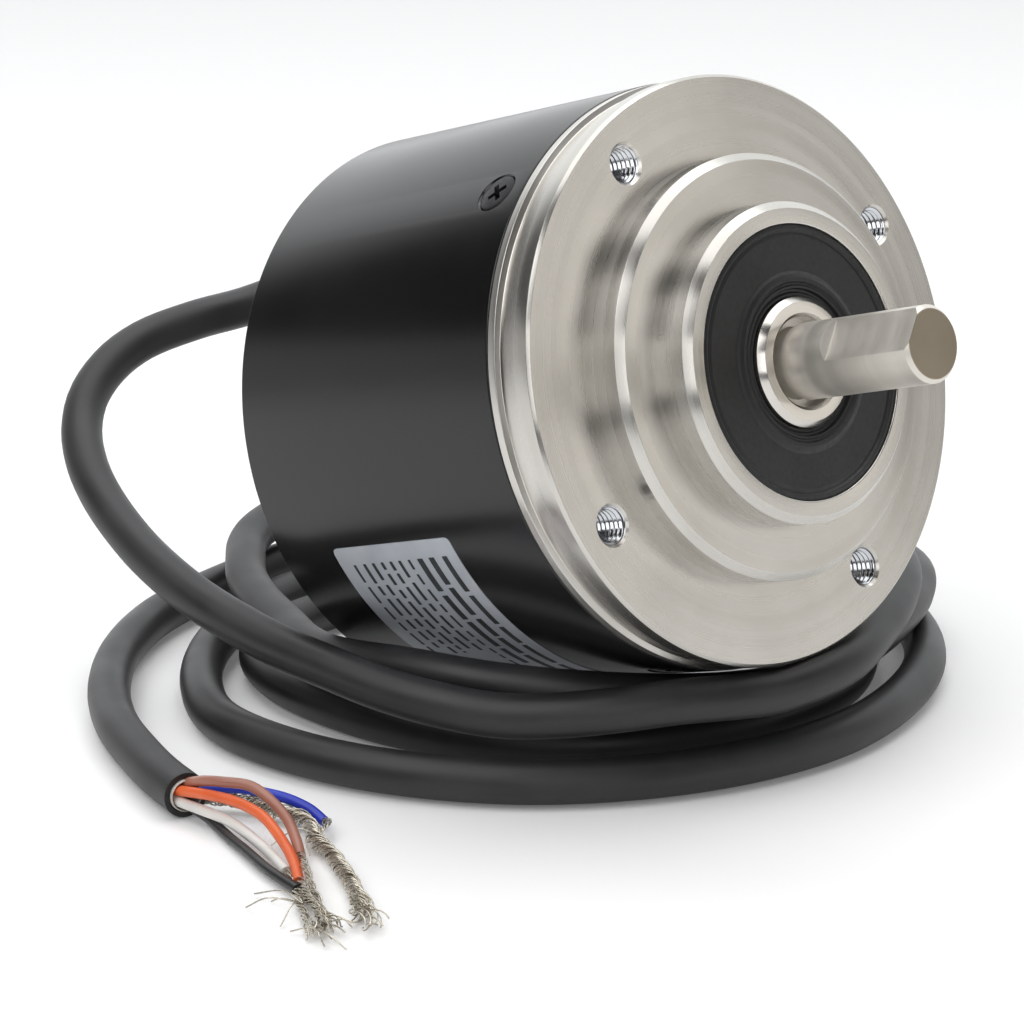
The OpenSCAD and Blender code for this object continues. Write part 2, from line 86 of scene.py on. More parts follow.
class Look:
    """A Principled material and short calls to wire nodes into it."""

    def __init__(self, name, colour, **sockets):
        self.material = bpy.data.materials.new(name)
        self.material.use_nodes = True
        self.tree = self.material.node_tree
        self.shader = self.tree.nodes["Principled BSDF"]
        self.shader.inputs["Base Color"].default_value = colour
        self.material.diffuse_color = colour
        for key, value in sockets.items():
            self.shader.inputs[key.replace("_", " ")].default_value = value
        self.bump_out = None

    def node(self, kind, inputs=None, **props):
        made = self.tree.nodes.new("ShaderNode" + kind)
        for key, value in props.items():
            setattr(made, key, value)
        for key, value in (inputs or {}).items():
            socket = made.inputs[key]
            if isinstance(value, bpy.types.NodeSocket):
                self.tree.links.new(value, socket)
            else:
                socket.default_value = value
        return made

    def math(self, operation, a, b=0.0):
        return self.node("Math", {0: a, 1: b}, operation=operation).outputs[0]

    def place(self, scale=(1, 1, 1)):
        coords = self.node("TexCoord").outputs["Object"]
        return self.node("Mapping", {"Vector": coords, "Scale": scale}).outputs[0]

    def shaft_parts(self):
        """X, Y and Z in the shaft's frame."""
        coords = self.node("TexCoord").outputs["Object"]
        turned = self.node("VectorRotate", {
            "Vector": coords, "Center": FACE_CENTRE, "Axis": (0, 1, 0), "Angle": TILT})
        moved = self.node("VectorMath", {0: turned.outputs[0], 1: FACE_CENTRE}, operation="SUBTRACT")
        return self.node("SeparateXYZ", {0: moved.outputs[0]}).outputs

    def turned_place(self, along, across):
        """Coordinates that are the same all round the shaft axis: distance along it and radius."""
        parts = self.shaft_parts()
        squares = [self.math("MULTIPLY", parts[i], parts[i]) for i in (1, 2)]
        radius = self.math("SQRT", self.math("ADD", *squares))
        x = self.math("MULTIPLY", parts[0], along)
        r = self.math("MULTIPLY", radius, across)
        return self.node("CombineXYZ", {0: x, 1: r, 2: 0.0}).outputs[0]

    def noise(self, place, scale=1.0, detail=3.0, rough=0.5):
        inputs = {"Vector": place, "Scale": scale, "Detail": detail, "Roughness": rough}
        return self.node("TexNoise", inputs).outputs[0]

    def ramp(self, value, stops):
        made = self.node("ValToRGB", {0: value})
        elements = made.color_ramp.elements
        while len(elements) < len(stops):
            elements.new(0.5)
        for element, (where, colour) in zip(elements, stops):
            element.position = where
            element.color = colour
        return made.outputs[0]

    def between(self, value, low, high, from_low=0.3, from_high=0.7):
        return self.node("MapRange", {0: value, 1: from_low, 2: from_high, 3: low, 4: high}).outputs[0]

    def colour(self, output):
        self.tree.links.new(output, self.shader.inputs["Base Color"])
        return self

    def rough(self, output):
        self.tree.links.new(output, self.shader.inputs["Roughness"])
        return self

    def bump(self, height, distance, strength=1.0):
        inputs = {"Height": height, "Distance": distance, "Strength": strength}
        if self.bump_out is not None:
            inputs["Normal"] = self.bump_out
        self.bump_out = self.node("Bump", inputs).outputs[0]
        self.tree.links.new(self.bump_out, self.shader.inputs["Normal"])
        return self


GROOVE_SCALE = 7000 * 0.9
GROOVE_DEPTH = 0.0000012


def turned_metal(name, low, high, rough_low, rough_high, anisotropic=0.6, end_from=None, metallic=1.0):
    """Lathe-turned metal: fine grooves round the axis and highlights that fan out across them."""
    look = Look(name, low, Metallic=metallic, Anisotropic=anisotropic)
    look.shader.inputs["Anisotropic Rotation"].default_value = 0.25
    position = look.node("NewGeometry").outputs["Position"]
    arm = look.node("VectorMath", {0: position, 1: FACE_CENTRE}, operation="SUBTRACT").outputs[0]
    around = look.node("VectorMath", {0: AXIS, 1: arm}, operation="CROSS_PRODUCT").outputs[0]
    tangent = look.node("VectorMath", {0: around}, operation="NORMALIZE").outputs[0]
    look.tree.links.new(tangent, look.shader.inputs["Tangent"])
    fine = look.noise(look.turned_place(GROOVE_SCALE, GROOVE_SCALE), detail=2)
    broad = look.noise(look.turned_place(500, 500), detail=4)
    cloud = look.noise(look.place((60, 60, 60)), detail=3)
    shade = look.ramp(look.math("ADD", look.math("MULTIPLY", cloud, 0.5), look.math("MULTIPLY", broad, 0.5)),
                      [(0.35, low), (0.65, high)])
    if end_from is not None:
        # Past end_from along the shaft, the end face gets a darker, browner colour
        at_end = look.math("GREATER_THAN", look.shaft_parts()[0], end_from * MM)
        shade = look.node("MixRGB", {0: at_end, 1: shade, 2: srgb(146, 135, 118)}).outputs[0]
    look.colour(shade)
    look.rough(look.between(broad, rough_low, rough_high))
    look.bump(fine, GROOVE_DEPTH)
    return look.material


def cast_look(name, dark, light, scale, rough_low, rough_high, bump=0.00001, **sockets):
    """A surface with a fine grain, a broad change of shade and uneven gloss."""
    look = Look(name, light, **sockets)
    grain = look.noise(look.place((scale,) * 3), detail=4)
    cloud = look.noise(look.place((scale / 12,) * 3), detail=2)
    look.colour(look.ramp(cloud, [(0.3, dark), (0.7, light)]))
    look.rough(look.between(grain, rough_low, rough_high))
    look.bump(grain, bump)
    return look.material


def wire_look(name, dark, light):
    look = Look(name, light)
    smear = look.noise(look.place((900, 900, 900)), detail=3)
    look.colour(look.ramp(look.noise(look.place((150, 150, 150)), detail=2), [(0.3, dark), (0.7, light)]))
    look.rough(look.between(smear, 0.28, 0.42))
    look.bump(smear, 0.000008)
    return look.material


def painted_cover():
    look = Look("cover_paint", srgb(17, 17, 17))
    look.shader.inputs["Specular IOR Level"].default_value = 0.5
    peel = look.noise(look.place((900, 900, 900)), detail=2)
    cloud = look.noise(look.place((60, 60, 60)), detail=2)
    patchy = look.noise(look.place((30, 30, 30)))
    look.colour(look.ramp(patchy, [(0.3, srgb(14, 14, 14)), (0.7, srgb(21, 21, 21))]))
    look.rough(look.between(cloud, 0.2, 0.24))
    look.bump(peel, 0.000003)
    return look.material


def cable_look():
    look = Look("cable_jacket", srgb(44, 44, 45))
    grain = look.noise(look.place((2500, 2500, 2500)), detail=3)
    handled = look.noise(look.place((90, 90, 90)), detail=4)
    look.colour(look.ramp(handled, [(0.3, srgb(30, 30, 31)), (0.7, srgb(46, 46, 47))]))
    look.rough(look.between(handled, 0.4, 0.55))
    look.bump(grain, 0.000012)
    return look.material


ALUMINIUM = turned_metal("turned_aluminium", srgb(190, 187, 181), srgb(210, 207, 202), 0.22, 0.32,
                         anisotropic=0.8)
SHAFT_STEEL = turned_metal("ground_steel", srgb(208, 203, 194), srgb(224, 219, 211), 0.32, 0.42,
                           anisotropic=0.4,
                           end_from=32.3, metallic=0.75)
SLEEVE_STEEL = turned_metal("sleeve_steel", srgb(200, 196, 190), srgb(220, 217, 212), 0.16, 0.26,
                            anisotropic=0.5)
PAINT = painted_cover()
CABLE = cable_look()
RUBBER = cast_look("moulded_rubber", srgb(18, 18, 18), srgb(27, 27, 27), 1500, 0.42, 0.58, 0.000008)
SCREW_BLACK = cast_look("black_oxide", srgb(30, 30, 32), srgb(46, 46, 48), 2500, 0.3, 0.45, 0.000006,
                        Metallic=0.7)
LABEL = cast_look("label_film", srgb(184, 190, 198), srgb(202, 207, 213), 2000, 0.3, 0.36, 0.0000008,
                  Metallic=0.3)
INK = cast_look("label_ink", srgb(34, 37, 40), srgb(52, 55, 58), 3000, 0.45, 0.6, 0.000002)
BEARING_STEEL = turned_metal("bearing_steel", srgb(190, 192, 196), srgb(212, 214, 218), 0.12, 0.2,
                             anisotropic=0.4)
BALL_STEEL = cast_look("polished_balls", srgb(200, 202, 206), srgb(216, 218, 222), 900, 0.05, 0.1,
                       0.000001, Metallic=1.0)
ZINC = cast_look("bright_zinc", srgb(170, 172, 178), srgb(198, 200, 204), 1200, 0.25, 0.4, 0.000005,
                 Metallic=1.0)
NYLON = cast_look("cage_nylon", srgb(196, 184, 146), srgb(214, 204, 168), 1200, 0.4, 0.55, 0.000008)
BRASS = turned_metal("turned_brass", srgb(186, 150, 84), srgb(212, 176, 104), 0.2, 0.32, anisotropic=0.4)
BLACK_PLASTIC = cast_look("black_plastic", srgb(26, 26, 27), srgb(36, 36, 37), 1800, 0.4, 0.55, 0.00001)
CREAM = cast_look("cream_nylon", srgb(214, 208, 190), srgb(228, 223, 208), 1400, 0.4, 0.5, 0.000008)
PCB = cast_look("solder_mask", srgb(12, 78, 44), srgb(18, 98, 56), 700, 0.25, 0.38, 0.000006)
EPOXY = cast_look("clear_epoxy", srgb(214, 218, 228), srgb(230, 233, 240), 600, 0.06, 0.12, 0.000002)
EPOXY.node_tree.nodes["Principled BSDF"].inputs["Transmission Weight"].default_value = 0.7
TINNED = cast_look("tinned_copper", srgb(176, 168, 152), srgb(214, 208, 196), 3000, 0.22, 0.36, 0.000003,
                   Metallic=1.0)
FOIL = cast_look("shield_wrap", srgb(206, 200, 192), srgb(232, 228, 222), 1500, 0.35, 0.5, 0.00002)
WIRES = {
    "brown": wire_look("brown_pvc", srgb(160, 108, 92), srgb(180, 126, 108)),
    "orange": wire_look("orange_pvc", srgb(222, 98, 50), srgb(236, 112, 62)),
    "blue": wire_look("blue_pvc", srgb(30, 50, 176), srgb(42, 66, 204)),
    "white": wire_look("white_pvc", srgb(214, 212, 206), srgb(232, 230, 226)),
    "black": wire_look("black_pvc", srgb(20, 20, 20), srgb(32, 32, 32)),
}


def glass_disc():
    """Clear glass with the radial lines of a code track near its edge."""
    look = Look("code_glass", srgb(206, 220, 222), Roughness=0.05)
    look.shader.inputs["Transmission Weight"].default_value = 0.8
    parts = look.shaft_parts()
    squares = [look.math("MULTIPLY", parts[i], parts[i]) for i in (1, 2)]
    radius = look.math("SQRT", look.math("ADD", *squares))
    angle = look.math("ARCTAN2", parts[1], parts[2])
    lines = look.math("GREATER_THAN", look.math("SINE", look.math("MULTIPLY", angle, 250.0)), 0.0)
    past_inner = look.math("GREATER_THAN", radius, 20.5 * MM)
    short_of_outer = look.math("LESS_THAN", radius, 24.5 * MM)
    inside = look.math("MULTIPLY", past_inner, short_of_outer)
    track = look.math("MULTIPLY", lines, inside)
    look.colour(look.ramp(track, [(0.4, srgb(206, 220, 222)), (0.6, srgb(30, 32, 34))]))
    return look.material


GLASS = glass_disc()


# ------------------------------------------------------------------ mesh tools
def finish_mesh(mesh, sharp=32):
    """Outward normals, smooth faces and sharp edges where the shape turns."""
    work = bmesh.new()
    work.from_mesh(mesh)
    bmesh.ops.remove_doubles(work, verts=work.verts, dist=1e-7)
    bmesh.ops.dissolve_degenerate(work, edges=work.edges, dist=1e-8)
    bmesh.ops.recalc_face_normals(work, faces=work.faces)
    work.to_mesh(mesh)
    work.free()
    for face in mesh.polygons:
        face.use_smooth = True
    mesh.set_sharp_from_angle(angle=math.radians(sharp))


def add_object(name, data, matrix=Matrix.Identity(4)):
    obj = bpy.data.objects.new(name, data)
    scene.collection.objects.link(obj)
    obj.matrix_world = matrix
    return obj


def new_object(name, verts, faces, matrix=REST, sharp=32):
    mesh = bpy.data.meshes.new(name)
    mesh.from_pydata([Vector(v) * MM for v in verts], [], faces)
    finish_mesh(mesh, sharp)
    return add_object(name, mesh, matrix)


def rounded(points, steps=5):
    """Rounds each corner of a closed profile by its third number, a radius."""
    out = []
    count = len(points)
    for i, point in enumerate(points):
        radius = point[2] if len(point) > 2 else 0
        here = Vector(point[:2])
        before = Vector(points[i - 1][:2]) - here
        after = Vector(points[(i + 1) % count][:2]) - here
        if radius <= 0 or before.length < 1e-6 or after.length < 1e-6:
            out.append(here)
            continue
        angle = before.angle(after)
        if angle > math.pi - 0.05:
            out.append(here)
            continue
        reach = min(radius / math.tan(angle / 2), before.length * 0.45, after.length * 0.45)
        start = here + before.normalized() * reach
        end = here + after.normalized() * reach
        for k in range(steps + 1):
            t = k / steps
            out.append(start * (1 - t) ** 2 + here * 2 * t * (1 - t) + end * t * t)
    return out


def lathe(name, points, segments=192, matrix=REST, sharp=32, axis="X"):
    """A turned solid from a closed profile of (radius, station, corner radius)."""
    profile = rounded(points)
    verts, faces = [], []
    for k in range(segments):
        angle = 2 * math.pi * k / segments
        c, s = math.cos(angle), math.sin(angle)
        for p in profile:
            verts.append((p[1], p[0] * s, p[0] * c) if axis == "X" else (p[0] * c, p[0] * s, p[1]))
    n = len(profile)
    for k in range(segments):
        a, b = k * n, ((k + 1) % segments) * n
        for i in range(n):
            j = (i + 1) % n
            if profile[i][0] < 1e-9 and profile[j][0] < 1e-9:
                continue
            faces.append((a + i, b + i, b + j, a + j))
    return new_object(name, verts, faces, matrix, sharp)


def convex(name, points, matrix=REST):
    """The solid hull of a few points."""
    work = bmesh.new()
    for p in points:
        work.verts.new(Vector(p) * MM)
    bmesh.ops.convex_hull(work, input=work.verts)
    mesh = bpy.data.meshes.new(name)
    work.to_mesh(mesh)
    work.free()
    return add_object(name, mesh, matrix)


def rolled(angle):
    """The rest frame rolled about the shaft axis, positive from the top towards +Y."""
    return REST @ Matrix.Rotation(-math.radians(angle), 4, "X")


def hole_place(k):
    return rolled(HOLE_ROLL + 90 * k) @ Matrix.Translation((0, 0, HOLE_CIRCLE_R * MM))


def screw_place(k):
    return rolled(SCREW_ROLL + 120 * k) @ Matrix.Translation((SCREW_X * MM, 0, 0))


def cut(obj, cutters, sharp=32):
    """Takes the cutters out of obj for good."""
    for cutter in cutters:
        step = obj.modifiers.new("cut", "BOOLEAN")
        step.operation = "DIFFERENCE"
        step.solver = "EXACT"
        step.object = cutter
    settle(obj, sharp)
    for cutter in cutters:
        bpy.data.objects.remove(cutter, do_unlink=True)
    return obj


def settle(obj, sharp=32):
    """Makes obj's modifiers part of its mesh."""
    graph = bpy.context.evaluated_depsgraph_get()
    mesh = bpy.data.meshes.new_from_object(obj.evaluated_get(graph))
    obj.modifiers.clear()
    obj.data = mesh
    finish_mesh(mesh, sharp)


def join(name, objects, sharp=32):
    """One object, in the rest frame, from several."""
    work = bmesh.new()
    for obj in objects:
        mesh = obj.data.copy()
        mesh.transform(REST.inverted() @ obj.matrix_world)
        work.from_mesh(mesh)
        bpy.data.objects.remove(obj, do_unlink=True)
    mesh = bpy.data.meshes.new(name)
    work.to_mesh(mesh)
    work.free()
    finish_mesh(mesh, sharp)
    return add_object(name, mesh, REST)


def is_part(obj, body, slot, material, *replaced):
    """Puts a piece on a body with its material, in place of the CAD nodes it replaces."""
    obj.data.transform(obj.matrix_world)
    obj.matrix_world = Matrix.Identity(4)
    obj.data.materials.clear()
    obj.data.materials.append(material)
    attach(obj, body)
    if replaced:
        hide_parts(*replaced)
    return obj


# ------------------------------------------------------------------ cable
def smooth_path(points, step=2.0):
    """A centripetal Catmull-Rom line through the points, resampled at an even step in mm."""
    pts = [Vector(p) for p in points]
    pts = [pts[0] * 2 - pts[1]] + pts + [pts[-1] * 2 - pts[-2]]
    dense = []
    for i in range(1, len(pts) - 2):
        p = pts[i - 1:i + 3]
        t = [0.0]
        for a, b in zip(p, p[1:]):
            t.append(t[-1] + math.sqrt((b - a).length))
        for k in range(16):
            u = t[1] + (t[2] - t[1]) * k / 16
            a1 = p[0].lerp(p[1], (u - t[0]) / (t[1] - t[0]))
            a2 = p[1].lerp(p[2], (u - t[1]) / (t[2] - t[1]))
            a3 = p[2].lerp(p[3], (u - t[2]) / (t[3] - t[2]))
            b1 = a1.lerp(a2, (u - t[0]) / (t[2] - t[0]))
            b2 = a2.lerp(a3, (u - t[1]) / (t[3] - t[1]))
            dense.append(b1.lerp(b2, (u - t[1]) / (t[2] - t[1])))
    dense.append(pts[-2])
    out, left = [dense[0]], step
    for a, b in zip(dense, dense[1:]):
        gap = (b - a).length
        while gap > 0 and left <= gap:
            a = a.lerp(b, left / gap)
            out.append(a)
            gap = (b - a).length
            left = step
        left -= gap
    if (out[-1] - dense[-1]).length > step * 0.2:
        out.append(dense[-1])
    return out


def tube(name, lines, radius, caps=True, sides=12):
    """A curve object of round section, from lists of points in mm."""
    curve = bpy.data.curves.new(name, "CURVE")
    curve.dimensions = "3D"
    curve.bevel_depth = radius * MM
    curve.bevel_resolution = sides
    curve.use_fill_caps = caps
    for line in lines:
        spline = curve.splines.new("POLY")
        spline.points.add(len(line) - 1)
        for i, p in enumerate(line):
            spline.points[i].co = (p[0] * MM, p[1] * MM, p[2] * MM, 1)
    return add_object(name, curve)


def exit_point(distance):
    """A point on the cable exit's axis, at a distance from the shaft axis, in mm."""
    roll = math.radians(EXIT_ROLL)
    local = Vector((GROMMET_X, distance * math.sin(roll), distance * math.cos(roll))) * MM
    return (REST @ local) / MM


CABLE_R = 3.0
EXIT_PLACE = rolled(EXIT_ROLL) @ Matrix.Translation((GROMMET_X * MM, 0, 0))
EXIT_START, EXIT_END = 29, 54
LEAD = [
    (-36, 55, 67), (-45, 64, 68.5), (-59, 67.5, 65.5), (-73.5, 61.5, 60), (-84.5, 49.5, 54.5),
    (-90.5, 35, 49), (-93, 21, 44.8), (-94, 8.2, 42.4), (-94.7, -1.9, 41.6), (-94.4, -12.5, 40.2),
    (-93.3, -19.5, 37.9), (-90.9, -25.6, 34.6), (-87.2, -29.9, 31.2), (-81.5, -33.6, 27.9),
    (-74.4, -36.5, 24.7), (-63.2, -39.8, 21.2), (-55.3, -41.4, 19.2), (-45.3, -42.4, 16.9)]
TURN_1 = [
    (-30.7, -42.1, 14.2), (-19.8, -41.6, 13.2), (-10.5, -40.6, 12.3), (-2.9, -38.9, 11.8),
    (5.8, -35, 11.3), (12.5, -30, 11.8), (17.9, -24.4, 12.6), (22.2, -18, 13.2), (25.2, -11, 12.9),
    (26.5, -4, 12.4), (26.5, 9, 13.2), (22.5, 20, 14.5), (17, 30.5, 15.2), (9, 41, 15.8), (-3, 50, 15.5),
    (-20, 55, 15), (-38, 55, 15), (-55, 52, 15), (-71, 46, 14), (-83, 36, 12), (-89, 24, 10.8)]
TURN_2 = [
    (-89.4, 14, 10.3), (-87.3, 6.2, 10), (-83.5, -0.6, 10), (-79.5, -5.5, 9.9), (-75.6, -9, 9.8),
    (-68.5, -14.8, 9.4), (-59, -20.2, 9.1), (-46.5, -26, 9.3), (-37.5, -30.4, 9.8), (-30.3, -32.6, 10.4),
    (-23, -33.2, 11.3), (-14.5, -32.5, 12.2), (-7, -30.9, 12.4), (-1.2, -28.2, 12.2), (6, -23.8, 12),
    (12.6, -15.6, 11.1), (16.9, -5.5, 9.9), (18.8, 5, 9), (18.6, 15, 8.6), (15, 26, 9), (10.3, 38, 9),
    (4, 50, 9), (-5, 60, 9), (-20, 64.5, 9), (-36, 60, 9), (-50, 48, 9), (-59, 33, 7), (-63, 17, 4)]
TURN_3 = [
    (-64, 2, 3), (-62, -13, 3), (-55, -24, 3), (-44, -30, 3), (-31, -32, 3), (-17, -31, 3), (-4, -26, 3),
    (7, -16, 3), (13.5, -3, 3), (15, 12, 3), (12, 26, 3), (4, 38, 3), (-7, 47, 3), (-21, 53, 3),
    (-37, 54, 3), (-53, 49, 3), (-66, 38, 3), (-73, 22, 3), (-75, 5, 3), (-71, -12, 3)]
TURN_4 = [
    (-62, -27, 3), (-50, -39, 3), (-36, -47, 3), (-20, -48, 3), (-5, -44, 3), (9, -35, 3), (19, -22, 3),
    (25, -6, 3), (26, 10, 3), (22, 26, 3), (14, 41, 3), (2, 53, 3), (-13, 61, 3), (-31, 65, 3),
    (-49, 62, 3), (-65, 54, 3), (-78, 41, 3), (-85, 25, 3)]
TAIL = [
    (-87, 8, 3), (-84, -8, 3), (-79, -23, 3), (-70, -37, 3), (-58, -49, 3), (-45, -58, 3), (-32, -64, 3),
    (-24, -67, 3), (-17, -69, 3)]

start = [tuple(exit_point(d)) for d in (EXIT_START, 37, 45, EXIT_END)]
cable_line = smooth_path(start + LEAD + TURN_1 + TURN_2 + TURN_3 + TURN_4 + TAIL)
cable = tube("cable", [cable_line], CABLE_R, caps=False, sides=14)
is_part(cable, "housing", "cable_jacket", CABLE, "cable_lead", "cable_coil", "cable_tail")

# The cut end: the jacket's thick wall, the wrap inside it and the filler round the wires
END = Vector(TAIL[-1])
end_dir = (cable_line[-1] - cable_line[-3]).normalized()
end_frame = Matrix.Translation(END * MM) @ end_dir.to_track_quat("X", "Z").to_matrix().to_4x4()
jacket_end = lathe("jacket_cut_end", [
    (2.25, -5), (2.25, 0, 0.1), (2.99, 0, 0.12), (2.99, -0.4), (2.7, -0.5), (2.7, -5)], 64, end_frame)
wrap = lathe("shield_wrap_end", [(0, -2.2), (1.95, -2.2), (2.0, 0.35), (2.12, 0.42), (2.24, -1.0),
                                 (2.24, -4), (0, -4)], 64, end_frame)
is_part(jacket_end, "housing", "cable_jacket", RUBBER)
is_part(wrap, "housing", "cable_jacket", FOIL)

WIRE_R = 0.7
WIRE_ROUTES = {
    "brown": [(-18.9, -68, 3.9), (-17, -68.6, 4.6), (-13, -69, 6), (-10, -68.5, 6.5), (-6.5, -67, 6.5),
              (-3.5, -66.5, 5.5),
              (0.5, -67, 4), (4, -68.5, 2.5), (6.5, -70, 1.5)],
    "orange": [(-18.9, -69.3, 3.4), (-17, -69.8, 3.8), (-11.5, -69.8, 4.7), (-7, -69.1, 4.8),
               (-1.5, -69.2, 4.3), (2.5, -70, 3),
               (8, -72.5, 2), (12, -75, 1)],
    "blue": [(-18.9, -67.1, 3.1), (-17, -67.2, 3.4), (-15, -65.2, 3.5), (-13, -63.2, 3.5),
             (-9.5, -61.8, 3.4), (-7, -60.3, 2.9),
             (-4, -59.2, 2), (-1.5, -59, 1)],
    "white": [(-18.9, -69.4, 2.2), (-17, -69.9, 2.3), (-13, -70, 2.4), (-7.5, -69.8, 2.2), (0, -71, 1.4),
              (8.5, -74, 1)],
    "black": [(-18.9, -68, 1.6), (-17, -68.7, 1.7), (-13, -68.8, 1), (-8.5, -70.2, 0.8), (-5, -71.4, 0.8),
              (-1, -72.7, 0.9),
              (7, -75.4, 1), (14, -77, 1)],
}
cord_pieces = [jacket_end, wrap]
for colour, route in WIRE_ROUTES.items():
    wire = tube(colour + "_wire_insulated", [smooth_path(route, 0.6)], WIRE_R, sides=8)
    is_part(wire, "housing", colour + "_pvc", WIRES[colour], colour + "_wire")
    cord_pieces.append(wire)

rng = random.Random(7)


def twisted(route, strands, spread, turns, fray=0.25, strand_spread=1.0, floor=0.12):
    """Bare strands wound round a route that open out over the last part of it."""
    line = smooth_path(route, 0.5)
    lines = []
    last = len(line) - 1
    for k in range(strands):
        phase = 2 * math.pi * k / strands + rng.uniform(-0.3, 0.3)
        ring = spread * rng.choice((0.45, 0.75, 1.0, 1.0))
        stop = last - rng.randint(0, max(1, int(last * 0.1)))
        drift = Vector((rng.uniform(-1, 1), rng.uniform(-1, 1), rng.uniform(-0.2, 0.6))) * strand_spread
        wander = [rng.uniform(0, 6.28) for _ in range(4)]
        points = []
        for i in range(stop + 1):
            t = i / last
            here = line[i]
            ahead = (line[min(i + 1, last)] - line[max(i - 1, 0)]).normalized()
            side = ahead.cross(Vector((0, 0, 1))).normalized()
            over = side.cross(ahead)
            angle = phase + 2 * math.pi * turns * t
            size = ring * (1 + 0.18 * math.sin(9 * t + wander[0]))
            p = here + side * size * math.cos(angle) + over * size * math.sin(angle)
            loose = max(0.0, (t - (1 - fray)) / fray) if fray else 0
            p += drift * loose * loose * 1.6
            ripple = [math.sin(rate * t + shift) for rate, shift in zip((14, 17, 11), wander[1:])]
            p += Vector(ripple) * 0.12
            p.z = max(p.z, floor)
            points.append(p)
        lines.append(points)
    return lines


def stray(start_point, ends, floor=0.1):
    """Single hairs that curl away from a point."""
    lines = []
    for end in ends:
        a, b = Vector(start_point), Vector(end)
        middle = (a + b) / 2 + Vector((rng.uniform(-1, 1), rng.uniform(-1, 1), rng.uniform(0.4, 1.6)))
        line = smooth_path([a, middle, b], 0.4)
        for p in line:
            p.z = max(p.z, floor)
        lines.append(line)
    return lines


STRAND_R = 0.1
braid_lines = twisted(
    [(-18.9, -67.6, 1.9), (-15.8, -64.6, 1.7), (-12.5, -62.4, 1.5), (-8, -61.6, 1.4), (-3, -61.2, 1.4),
     (0, -62.4, 1.6),
     (2.5, -64.2, 1.3), (6.5, -65.6, 1.1), (12, -68.2, 1.1), (18, -71.6, 1.1), (24, -75.6, 1.1),
     (29.5, -79.2, 1)],
    26, 0.85, 9, fray=0.3, strand_spread=1.3)
braid_lines += stray((3, -64, 1.6), [(-1, -68.5, 0.3), (5.5, -67.5, 0.5)])
braid_lines += twisted([(-1.6, -59, 1), (0.4, -59.9, 1.7), (1.8, -61.6, 1.9), (2.6, -63.6, 1.6)], 7, 0.3,
                       2, fray=0.3, strand_spread=0.4)
braid = tube("shield_twist", braid_lines, STRAND_R, sides=2)
is_part(braid, "housing", "tinned_copper", TINNED, "shield_braid")
strand_lines = twisted([(12.2, -75.1, 1), (15.5, -77.2, 1.5), (19, -79, 1.4), (23, -81.4, 1.2),
                        (27, -84, 0.9)],
                       9, 0.42, 3, fray=0.5, strand_spread=1.1)
strand_lines += twisted([(6.6, -70.1, 1.5), (9.5, -72.2, 2.2), (13, -74.6, 2.4), (17.5, -77.4, 1.9),
                         (22.5, -80.6, 1.4), (27.5, -83.6, 0.9)],
                        9, 0.42, 4, fray=0.4, strand_spread=1.2)
strand_lines += twisted([(14, -77, 1), (17.5, -78.6, 1), (22, -80, 1.1), (27, -81.8, 1)], 9, 0.4, 3,
                        fray=0.5, strand_spread=1.2)
strand_lines += twisted([(8.6, -74, 1), (12.5, -76.4, 0.8), (17, -79.4, 0.8), (22.5, -82.6, 0.8),
                         (26, -84.6, 0.7)], 8, 0.38, 3,
                        fray=0.5, strand_spread=1.0)
strand_lines += stray((18, -79.6, 1), [(10, -80.5, 0.3), (12.5, -84, 0.2), (20, -85, 0.2),
                                       (15.5, -82.5, 1.4)])
strand_lines += stray((26, -83.8, 0.8), [(22, -85.2, 0.2), (25.5, -85.6, 0.2), (28.5, -85.4, 0.2),
                                         (31, -84.2, 0.3)])
strands = tube("bare_strands", strand_lines, STRAND_R, sides=2)
is_part(strands, "housing", "tinned_copper", TINNED, "wire_strands")
cord_pieces += [braid, strands]

# ------------------------------------------------------------------ flange
flange = lathe("flange", [
    (18, 10, 0.25), (20, 10, 0.06), (21, 9, 0.06), (21, 5), (27, 5, 0.06), (28, 4, 0.06), (28, 0),
    (38.6, 0, 0.06), (39, -0.4, 0.06), (39, -2.7, 0.12), (38.2, -3.0, 0.2), (38.2, -6.0, 0.2),
    (39, -6.3, 0.12), (39, -7.5, 0.1), (36.5, -7.5), (36.5, -8.5), (34.8, -8.5), (34.8, -10.7),
    (36.5, -10.7), (36.5, -18, 0.3), (18.5, -18, 0.3), (18.5, -32), (16, -32), (16, -31.2), (16.9, -31.2),
    (16.9, -30), (16, -30), (16, -20), (13.5, -20), (13.5, -7), (16, -7), (16, 2.85), (18, 2.85)], 256)
HOLE_R = 2.5
cutters = []
for k in range(4):
    hole = lathe("hole_cutter", [(0, -8), (HOLE_R, -8), (HOLE_R, -0.35), (HOLE_R + 0.4, 0.05),
                                 (HOLE_R + 0.4, 0.6), (0, 0.6)],
                 48, hole_place(k))
    cutters.append(hole)
for k in range(3):
    cutters.append(lathe("screw_cutter", [(0, 28), (1.5, 28), (1.5, 40), (0, 40)], 24,
                         screw_place(k), axis="Z"))
cut(flange, cutters)
is_part(flange, "housing", "anodised_aluminium", ALUMINIUM, "flange_housing")


